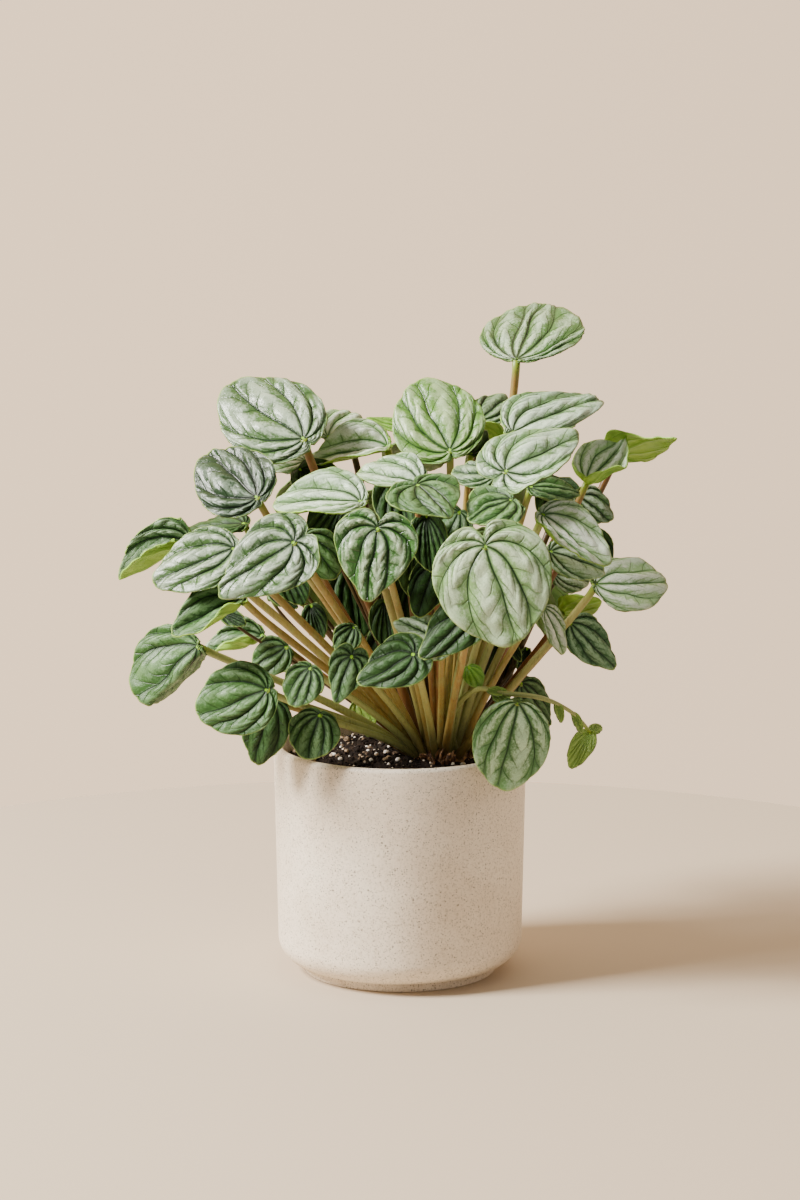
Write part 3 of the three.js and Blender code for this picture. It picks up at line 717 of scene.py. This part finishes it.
def growSheet(bm, net, name, jitter):
    # adds one fine upper face to bm, and raises the ribs between its main veins
    relief = bladeTones[toneOf[name]][-1]
    surface, largest = sheetPoints(net, name, jitter), largestReach(net)
    steps, columns = len(surface) - 1, len(surface[0]) - 1
    perGap = blade["columnsPerGap"][len(net["rings"])]
    uvLayer = bm.loops.layers.uv["bladeMap"]
    layers = bm.verts.layers.float
    made = bmesh.ops.create_grid(bm, x_segments=columns, y_segments=steps, size=0.5, calc_uvs=True)["verts"]
    faces = {face for vert in made for face in vert.link_faces}
    for face in faces:
        for loop in face.loops:
            loop[uvLayer].uv.x *= columns // perGap
    spots = {}
    for vert in made:
        column, step = round((vert.co.x + 0.5) * columns), round((vert.co.y + 0.5) * steps)
        here, beyond = surface[step][column], surface[step][column + 1 if column < columns else column - 1]
        vert[layers["veinGap"]] = max((beyond - here).length * perGap, 1e-5)
        vert[layers["reach"]] = (surface[steps][column] - net["navel"]).length
        vert[layers["wander"]] = blade["sideWander"] * noise(here * blade["wanderScale"])
        spots[vert] = (column, step / steps)
        vert.co = here
    for face in faces:
        face.normal_update()
    for vert in made:
        vert.normal_update()
    moves = {}
    for vert, (column, outward) in spots.items():
        beside = 1 - abs(2 * (column % perGap) / perGap - 1)
        wave = sin(pi / 2 * beside) ** blade["grooveSharpness"]
        tallest = min(blade["tallestRib"], blade["ribRise"] * vert[layers["veinGap"]])
        inside = min(1, outward * blade["ribsSetIn"])
        rise = relief * tallest * inside * (1 - blade["marginFlattening"] * outward ** 4) * (wave - 0.5)
        spot = vert.co * blade["puckersPerReach"] / largest
        bulge = noise(spot) + blade["finePucker"] * noise(spot * blade["finePuckerScale"])
        bulge *= min(1, outward * blade["puckersSetIn"])
        low = blade["puckerInGroove"]
        rise += blade["pucker"] * largest * bulge * (low + (1 - low) * wave)
        slant = blade["sideVeins"] * outward + blade["sideSlant"] * beside + vert[layers["wander"]]
        slant += blade["sideShift"] * column / perGap
        rise -= relief * blade["quilting"] * largest * cos(2 * pi * slant) * inside ** 2 * wave
        flutter = noise(spot * blade["marginWaveScale"] + up * 5)
        rise += blade["marginWave"] * largest * flutter * outward ** 4
        moves[vert] = rise
    # the seam and the navel are shared by several columns, so they stay where they are
    for vert, rise in moves.items():
        column, outward = spots[vert]
        if outward and column not in (0, columns):
            vert.co += vert.normal * rise
    bmesh.ops.remove_doubles(bm, verts=made, dist=2e-6)


def pointAround(navel, marks, turn):
    # a point between the spokes of one ring
    spokes = len(marks)
    spoke = min(int(turn), spokes - 1)
    part = turn - spoke
    near = [marks[(spoke + k) % spokes] for k in (-1, 0, 1, 2)]
    point = between(*near, part)
    if spoke in (0, spokes - 1) and 0 < part < 1:  # the cleft is narrower than a spoke's gap
        away = part if spoke == 0 else 1 - part
        ends = [(near[1] - navel).length, (near[2] - navel).length]
        low, high = ends if spoke == 0 else reversed(ends)
        wanted = low + (high - low) * away ** blade["cleftNarrowing"]
        point = navel + (point - navel) * (wanted / max(1e-6, (point - navel).length))
    return point


youngBlade = {
    "spokes": 12, "rings": (0.5, 1), "ahead": 0.47, "half": 0.53,
    "shoulder": 1.1, "taper": 0.35, "cup": 0.35, "droop": 0.1,
}


def youngNet(place, facing, rise, clock, length, width):
    # a small blade of its own, by the angles that its upper face and its tip point in
    heading, steep, turn = radians(facing), radians(rise), radians(clock)
    level = Vector((cos(heading), sin(heading), 0))
    normal = level * cos(steep) + up * sin(steep)
    uphill = up * cos(steep) - level * sin(steep)
    tip = uphill * cos(turn) + uphill.cross(normal) * sin(turn)
    across = tip.cross(normal)
    rings = []
    for share in youngBlade["rings"]:
        ring = []
        for k in range(youngBlade["spokes"]):
            angle = pi + k * 2 * pi / youngBlade["spokes"]
            along = length * (youngBlade["ahead"] + youngBlade["half"] * cos(angle)) * share
            narrowing = youngBlade["shoulder"] - youngBlade["taper"] * along / length
            side = width / 2 * sin(angle) * share * narrowing
            high = youngBlade["cup"] * abs(side) - youngBlade["droop"] * along ** 2 / length
            ring.append(place + tip * along + across * side + normal * high)
        rings.append(ring)
    return {"navel": place.copy(), "rings": rings, "normal": normal}


bladeMaterials = {name: bladeMaterial(name) for name in bladeTones}
underMaterials = {name: underMaterial(name, *pair) for name, pair in undersides.items()}
nets = {name: readNets(name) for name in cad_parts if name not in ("pot", "soil", "stalks")}


# The runner: a thin stem that trails over the rim and ends in young leaves.
# Each young leaf: the step of the stem that it grows at, counted from the foot, heading and rise of
# its face, turn of its tip, length and width.
runner = {
    "route": [(0.027, -0.014, 0.106), (0.024, -0.026, 0.128), (0.035, -0.042, 0.144),
              (0.047, -0.052, 0.1445), (0.065, -0.046, 0.141), (0.079, -0.038, 0.133),
              (0.089, -0.029, 0.121)],
    "steps": 8, "sides": 8, "tone": 1.0, "foot": 0.0015, "end": 0.0009,
    "leaves": [(48, -95, 30, -152, 0.019, 0.012), (48, -70, 50, 60, 0.008, 0.006),
               (36, -60, 20, 170, 0.009, 0.005), (22, -90, 35, 130, 0.009, 0.008),
               (24, -60, 45, -70, 0.007, 0.006), (41, -60, 20, 160, 0.01, 0.005)],
}


def smoothRoute(marks, steps):
    points = [Vector(mark) for mark in marks]
    padded = [points[0]] + points + [points[-1]]
    found = [between(*padded[i:i + 4], k / steps) for i in range(len(points) - 1) for k in range(steps)]
    return found + [points[-1]]


runnerLine = smoothRoute(runner["route"], runner["steps"])
nets["stalks"] = [youngNet(runnerLine[step], *shape) for step, *shape in runner["leaves"]]

# Small leaves between the stalks, in the darker finish, filling the dark gaps there with painted shade:
# navel, heading and rise of the face, turn of the tip, length and width, in millimetres and degrees
innerLeaves = [
    ((-62, 6, 181), -80, 40, 120, 15, 10), ((-42, 4, 175), -100, 25, 160, 17, 13),
    ((-7, -6, 179), -95, 20, 175, 22, 17), ((-84, 2, 172), -110, 30, 110, 13, 9),
    ((50, 20, 156), -70, 30, 150, 13, 7), ((61, 26, 150), -80, 20, -160, 13, 7),
    ((-23, 22, 194), -100, 15, 170, 36, 28), ((10, 20, 191), -90, 10, 180, 38, 30),
    ((33, 24, 179), -85, 15, -165, 36, 28), ((50, 30, 180), -75, 20, -150, 34, 26),
    ((-7, 14, 164), -110, 10, 165, 28, 22), ((19, 12, 157), -90, 5, 180, 26, 20),
    ((-28, 8, 158), -100, 20, 150, 20, 15), ((48, 34, 153), -80, 10, -170, 24, 18),
    ((-2, 0, 237), -95, 30, 170, 30, 26), ((-26, -5, 227), -90, 25, -150, 28, 24),
    ((19, -20, 227), -85, 20, 180, 30, 24), ((-47, 5, 240), -95, 35, 130, 30, 24),
    ((-31, 0, 219), -95, 20, 175, 26, 22), ((75, 5, 235), -80, 30, -170, 28, 24),
    ((90, 10, 210), -75, 20, 170, 22, 18), ((-56, 0, 198), -100, 25, 150, 24, 20),
    ((8, 2, 207), -90, 10, 175, 30, 24), ((46, 4, 207), -85, 15, -170, 28, 22),
    ((12, -65, 229), -98, 15, 172, 25, 19),
]
nets["inner"] = [youngNet(Vector(place) / 1000, *turns, length / 1000, width / 1000)
                 for place, *turns, length, width in innerLeaves]


def makeBlades():
    for count, (name, found) in enumerate(nets.items()):
        bm = newMesh(("veinGap", "wander", "reach"))
        bm.loops.layers.uv.new("bladeMap")
        tone = toneOf[name]
        for place, net in enumerate(found):
            growSheet(bm, net, name, count * 3.7 + place)
        pieceName = "blade_" + name[5:] if name.startswith("leaf") else "blades_" + name
        replaced = [name] if name.startswith("leaf") else []
        below = underMaterials["limeUnderPaintedLight" if tone == "lime" or name in paintedLightBelow else "dullUnder"]
        piece = addPiece(pieceName, bm, [bladeMaterials[tone], below], replaced)
        wall = piece.modifiers.new("thickness", "SOLIDIFY")
        wall.thickness = blade["thickness"]
        wall.offset = -1
        wall.material_offset = 1
        wall.material_offset_rim = 1


makeBlades()
print("blades made:", sum(len(found) for found in nets.values()))


# The stalks: round, fleshy, fanning out of the crown

stalk = {
    "base": 0.0012, "perLength": 0.015, "swell": 1.2, "sink": 0.004, "seat": 0.0004,
    "upright": 0.2, "leaning": 0.58, "riseFirst": 0.35, "towardsNormal": 0.8, "towardsTip": 0.15,
    "footReach": 0.33, "endReach": 0.2, "steps": 22, "sides": 12,
    "unevenness": 0.00016, "unevenScale": 160, "seed": 11,
    # a tone of 0 is brown, 0.45 tan and 1 olive, as on low leaves, and below 0 it is darker, as painted
    # shade
    "lowFrom": 0.13, "lowDepth": 0.11, "lowTone": 0.45, "toneSpread": (-0.1, 0.85),
    # stalks further back are darkened towards this tone, and the inner leaves' stalks fully: painted shade
    "paintedShadeFrom": -0.025, "paintedShadeDepth": 0.04, "paintedShadeTone": -0.4,
    "innerShare": 0.55, "innerShift": Vector((0, 0.011, 0)),
}
stalkLayers = ("stalkTone", "fromEnd", "fromFoot")
shoots = {
    "back_shoot_1": {"place": Vector((0.002, 0.034, 0.1085)), "radius": 0.005, "fineness": 3},
    "back_shoot_2": {"place": Vector((0.038, 0.027, 0.1075)), "radius": 0.005, "fineness": 3},
}


def bezierPoints(a, b, c, d, steps):
    found = []
    for i in range(steps + 1):
        t = i / steps
        found.append(a * (1 - t) ** 3 + b * 3 * t * (1 - t) ** 2 + c * 3 * t * t * (1 - t) + d * t ** 3)
    return found


def stalkLine(net, place, reach):
    # from the side of a crown to the underside of a blade; reach is the crown's radius
    normal = net["normal"]
    half = len(net["rings"][0]) // 2
    tip = net["rings"][-1][half] - net["navel"]
    length = tip.length
    tip = (tip - normal * tip.dot(normal)).normalized()
    end = net["navel"] - normal * stalk["seat"]
    outward = end - place
    lean = hypot(outward.x, outward.y) / outward.length
    side = atan2(outward.y, outward.x)
    offset = reach * (stalk["upright"] + stalk["leaning"] * lean)
    foot = place + Vector((offset * cos(side), offset * sin(side), -stalk["sink"]))
    start = (end - foot).normalized() + up * stalk["riseFirst"]
    start.normalize()
    arriving = (start + normal * stalk["towardsNormal"] + tip * stalk["towardsTip"]).normalized()
    span = (end - foot).length
    points = bezierPoints(foot, foot + start * span * stalk["footReach"],
                          end - arriving * span * stalk["endReach"], end, stalk["steps"])
    return points, stalk["base"] + stalk["perLength"] * length


def addTube(bm, points, radii, sides, tone):
    # extrudes a ring along the points, with a tone for the whole length
    toneLayer, endLayer, footLayer = [bm.verts.layers.float[name] for name in stalkLayers]
    whole = sum((a - b).length for a, b in zip(points, points[1:]))
    across = None
    ring = bmesh.ops.create_circle(bm, cap_ends=True, segments=sides, radius=1)["verts"]
    for i, (point, radius) in enumerate(zip(points, radii)):
        ahead = (points[min(i + 1, len(points) - 1)] - points[max(i - 1, 0)]).normalized()
        if across is None:
            across = ahead.orthogonal().normalized()
        across = (across - ahead * across.dot(ahead)).normalized()
        sideways = ahead.cross(across)
        if i:
            edges = [edge for edge in {e for v in ring for e in v.link_edges}
                     if edge.verts[0] in ring and edge.verts[1] in ring]
            made = bmesh.ops.extrude_edge_only(bm, edges=edges)["geom"]
            fresh = [item for item in made if isinstance(item, bmesh.types.BMVert)]
            order = {}
            for vert in fresh:
                below = next(e.other_vert(vert) for e in vert.link_edges if e.other_vert(vert) in ring)
                order[below] = vert
            ring = [order[vert] for vert in ring]
        left = sum((a - b).length for a, b in zip(points[i:], points[i + 1:]))
        for k, vert in enumerate(ring):
            angle = 2 * pi * k / sides
            spot = across * cos(angle) + sideways * sin(angle)
            uneven = stalk["unevenness"] * noise((point + spot * radius) * stalk["unevenScale"])
            vert.co = point + spot * (radius + uneven)
            vert[toneLayer] = tone
            vert[endLayer] = left
            vert[footLayer] = whole - left
    bmesh.ops.contextual_create(bm, geom=ring)


stalkColours = {
    # dark: the painted shade of stalks at the back
    "dark": colour("33290f"), "brown": colour("8a5a2c"), "tan": colour("a88e4a"), "olive": colour("a0a865"),
    # foot: a browner, darker base, partly its own colour and partly painted shade by the crown
    "neck": colour("7f9a26"), "streak": colour("4a3c16"), "foot": colour("4b3a1a"),
    "crown": colour("4b3323"), "dryCrown": colour("b08458"),
    "neckReach": (0.001, 0.011), "footReach": (0.004, 0.03),
}


def stalkMaterial():
    material, shader = newMaterial("fleshyStalk")
    place = objectPlace()
    tone = attribute("stalkTone")
    # below a tone of 0 the stalk is darkened: painted shade
    face = stalkColours["dark"]
    for low, high, key in ((-0.5, -0.1, "brown"), (0.0, 0.45, "tan"), (0.5, 1.0, "olive")):
        face = blend(ramp(tone, low, high), face, stalkColours[key])
    patches = ramp(cloud(objectPlace((1, 1, 0.25)), 320, 3), 0.4, 0.7, 0.0, 0.45)
    patches = times(patches, ramp(tone, -0.3, 0.4, 0.15, 1.0))
    face = blend(patches, face, stalkColours["olive"])
    streaks = ramp(cloud(objectPlace((1, 1, 0.06)), 1500, 2), 0.5, 0.75, 0.0, 0.35)
    face = blend(streaks, face, stalkColours["streak"])
    # greener at the neck, its own colour; browner and darker at the foot, partly its own colour and partly
    # painted shade near the crown
    for key, layer, share in (("neck", "fromEnd", 0.9), ("foot", "fromFoot", 0.6)):
        near = ramp(attribute(layer), *stalkColours[key + "Reach"], share, 0.0)
        face = blend(near, face, stalkColours[key])
    paint(shader, face, 0.42)
    bump(shader, cloud(place, 700, 2), 0.0001, 0.5)
    return material


def crownMaterial():
    material, shader = newMaterial("woodyCrown")
    place = objectPlace()
    dry = ramp(cloud(place, 420, 4, 0.6), 0.4, 0.65)
    paint(shader, blend(dry, stalkColours["crown"], stalkColours["dryCrown"]), 0.75)
    bump(shader, cloud(place, 900, 3), 0.0005, 0.8)
    return material


def stalkTone(net, inner, draw):
    low = 1 - clamp((net["navel"].z - stalk["lowFrom"]) / stalk["lowDepth"])
    # stalks further back, and all stalks of the inner leaves, are darkened: painted shade
    paintedShadeShare = 1 if inner else clamp((net["navel"].y - stalk["paintedShadeFrom"]) / stalk["paintedShadeDepth"])
    near = clamp(stalk["lowTone"] * low + draw.uniform(*stalk["toneSpread"]))
    return near * (1 - paintedShadeShare) + stalk["paintedShadeTone"] * paintedShadeShare


def makeStalks():
    draw = random.Random(stalk["seed"])
    skin, wood = stalkMaterial(), crownMaterial()
    fed = {name: [name] for name in shoots}
    fed["stalks"] = [key for key in nets if key.startswith("leaf") or key == "inner"]
    for name, root in {"stalks": crown, **shoots}.items():
        bm = newMesh(stalkLayers)
        for key, net in [(key, net) for key in fed[name] for net in nets[key]]:
            inner = key == "inner"
            place = root["place"] + stalk["innerShift"] if inner else root["place"]
            points, radius = stalkLine(net, place, root["radius"])
            radius *= stalk["innerShare"] if inner else 1
            steps, swell = len(points) - 1, stalk["swell"] - 1
            radii = [radius * (1 + swell * max(0, 1 - 2 * i / steps)) for i in range(steps + 1)]
            addTube(bm, points, radii, stalk["sides"], stalkTone(net, inner, draw))
        if name == "stalks":
            count, taper = len(runnerLine) - 1, runner["end"] - runner["foot"]
            radii = [runner["foot"] + taper * i / count for i in range(count + 1)]
            addTube(bm, runnerLine, radii, runner["sides"], runner["tone"])
        marked = len(bm.faces)
        addCrown(bm, root, draw)
        for face in list(bm.faces)[marked:]:
            face.material_index = 1
        bmesh.ops.recalc_face_normals(bm, faces=bm.faces[:])
        pieceName = "stalkFan" if name == "stalks" else "stalks_" + name
        addPiece(pieceName, bm, [skin, wood], [name])


# The crown's dome, and the dry scales on it: places as shares of its radius, sizes in metres
dome = {"drop": 0.007, "height": 0.0075, "broadLumps": 0.1, "fineLumps": 0.05}
scales = {
    "perMetre": 3000, "away": (0.35, 0.95), "sunk": 0.004, "sizes": (0.0025, 0.0055), "rise": (0.8, 2.2),
    "frontAngles": (-1.9, -1.3), "frontAway": (0.85, 1.15),
    "width": 0.35, "pointed": 0.5, "thickness": 0.12, "curl": 0.35, "standOut": 0.6,
}


def addCrown(bm, root, draw):
    # a lumpy dome, with dry scales round the stalks' feet
    place, radius = root["place"], root["radius"]
    middle = place - up * dome["drop"]
    ball = bmesh.ops.create_icosphere(bm, subdivisions=root["fineness"], radius=1)["verts"]
    for vert in ball:
        lump = 1 + dome["broadLumps"] * noise(vert.co * 3 + place * 50)
        lump += dome["fineLumps"] * noise(vert.co * 8)
        x, y, z = vert.co
        vert.co = middle + Vector((x * radius, y * radius, z * dome["height"])) * lump
    for count in range(int(radius * scales["perMetre"])):
        angle = draw.uniform(0, 2 * pi)
        away = radius * draw.uniform(*scales["away"])
        if count % 3 == 0:  # every third one lies in front
            angle = draw.uniform(*scales["frontAngles"])
            away = radius * draw.uniform(*scales["frontAway"])
        foot = place + Vector((away * cos(angle), away * sin(angle), -scales["sunk"]))
        size = draw.uniform(*scales["sizes"])
        lean = Vector((cos(angle), sin(angle), draw.uniform(*scales["rise"]))).normalized()
        wide = lean.cross(Vector((draw.uniform(-1, 1), draw.uniform(-1, 1), 0.2))).normalized()
        thin = lean.cross(wide)
        flake = bmesh.ops.create_icosphere(bm, subdivisions=2, radius=1)["verts"]
        for vert in flake:
            x, y, z = vert.co
            across = x * scales["width"] * (1 - scales["pointed"] * abs(y))
            along = y + scales["standOut"]
            depth = z * scales["thickness"] + scales["curl"] * y * y
            vert.co = foot + (wide * across + lean * along + thin * depth) * size


makeStalks()
print("stalks made")


# Camera, light and the plain floor

view = {"place": (0, -1.8, 0.5054), "pitch": 10.29, "lens": 116.3}
studio = {
    "floorRadius": 0.4, "floorSides": 128, "floor": colour("c2b29c"), "floorRough": 0.9,
    "front": (1, 0.93, 0.86, 1), "frontPower": 0.34, "back": (1, 0.73, 0.48, 1), "backPower": 1.8,
    "behindFrom": (-0.05, 0.25), "dimFrom": (-0.12, 0.14), "dimTo": 0.86,  # by direction, -1 to 1
}
# each light's place, what it points at, its size, power and tint
lights = {
    "window": ((-1.85, -0.62, 1.8), (0, 0, 0.2), 0.8, 222, (1, 0.965, 0.91)),
    "fill": ((1.4, -1.6, 0.9), (0, 0, 0.2), 1.2, 1, (1, 0.93, 0.86)),
}


def makeCamera():
    camera = addObject("camera", bpy.data.cameras.new("camera"))
    camera.location = view["place"]
    camera.rotation_euler = (radians(90 - view["pitch"]), 0, 0)
    camera.data.lens = view["lens"]
    bpy.context.scene.camera = camera


def makeFloor():
    # a round floor, so that the plant is free to see from every side
    bm = bmesh.new()
    bmesh.ops.create_circle(bm, cap_ends=True, segments=studio["floorSides"], radius=studio["floorRadius"])
    mesh = bpy.data.meshes.new("floor")
    bm.to_mesh(mesh)
    bm.free()
    disc = addObject("floor", mesh)
    material, shader = newMaterial("floorPaint")
    shader.inputs["Base Color"].default_value = studio["floor"]
    shader.inputs["Roughness"].default_value = studio["floorRough"]
    mesh.materials.append(material)


def makeLight(name, place, target, size, power, tint):
    light = addObject(name, bpy.data.lights.new(name, "AREA"))
    light.location = place
    light.rotation_euler = (Vector(target) - Vector(place)).to_track_quat("-Z", "Y").to_euler()
    light.data.size = size
    light.data.energy = power
    light.data.color = tint


def makeWorld():
    # soft light all round, and a pale warm room behind the plant that dims towards the right
    world = bpy.data.worlds.new("softRoom")
    bpy.context.scene.world = world
    world.use_nodes = True
    trees.append(world.node_tree)
    way = put("TexCoord").outputs["Generated"]
    split = put("SeparateXYZ", {}, {"Vector": way})
    behind = ramp(split.outputs["Y"], *studio["behindFrom"])
    behind = times(behind, ramp(split.outputs["X"], *studio["dimFrom"], 1.0, studio["dimTo"]))
    front, back = [put("Background", {},
                       {"Color": studio[side], "Strength": studio[side + "Power"]})
                   for side in ("front", "back")]
    mixed = put("MixShader", {}, {0: behind, 1: front.outputs[0], 2: back.outputs[0]})
    link(mixed.outputs[0], world.node_tree.nodes["World Output"].inputs["Surface"])


makeCamera()
makeFloor()
makeWorld()
for lightName, values in lights.items():
    makeLight(lightName, *values)
print("floor and lights made")
